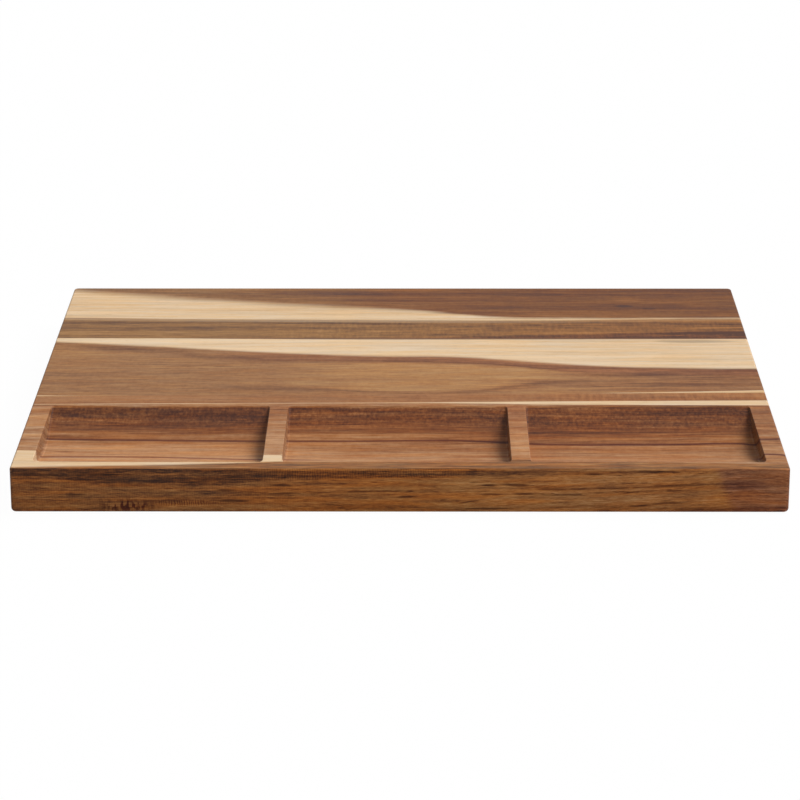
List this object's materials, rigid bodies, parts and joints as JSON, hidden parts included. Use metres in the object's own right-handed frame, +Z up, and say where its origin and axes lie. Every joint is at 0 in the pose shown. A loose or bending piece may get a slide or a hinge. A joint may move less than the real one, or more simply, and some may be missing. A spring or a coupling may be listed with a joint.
{
  "type": "chopping board",
  "caption": "Rectangular edge-glued hardwood chopping board with a row of three shallow compartments scooped along its front edge for chopped food.",
  "frame": {"origin": "centre of the underside, on the surface that the board lies on", "axes": "+X along the board's length to the right, +Y from the front edge with the compartments to the back edge, +Z up through its thickness"},
  "size_m": [0.5, 0.4, 0.03],
  "materials": {
    "mid_wood": "oiled satin, brown heartwood",
    "dark_wood": "oiled satin, dark heartwood",
    "pale_wood": "oiled satin, part cream sapwood",
    "wood_glue": "cured wood glue, seen only as a hairline"
  },
  "bodies": {
    "root": {"front_stave": "mid_wood", "compartment_stave": "mid_wood", "narrow_stave": "mid_wood", "broad_stave": "mid_wood", "second_stave": "dark_wood", "back_stave": "pale_wood", "glue_line_1": "wood_glue", "glue_line_2": "wood_glue", "glue_line_3": "wood_glue", "glue_line_4": "wood_glue", "glue_line_5": "wood_glue"}
  },
  "joints": []
}
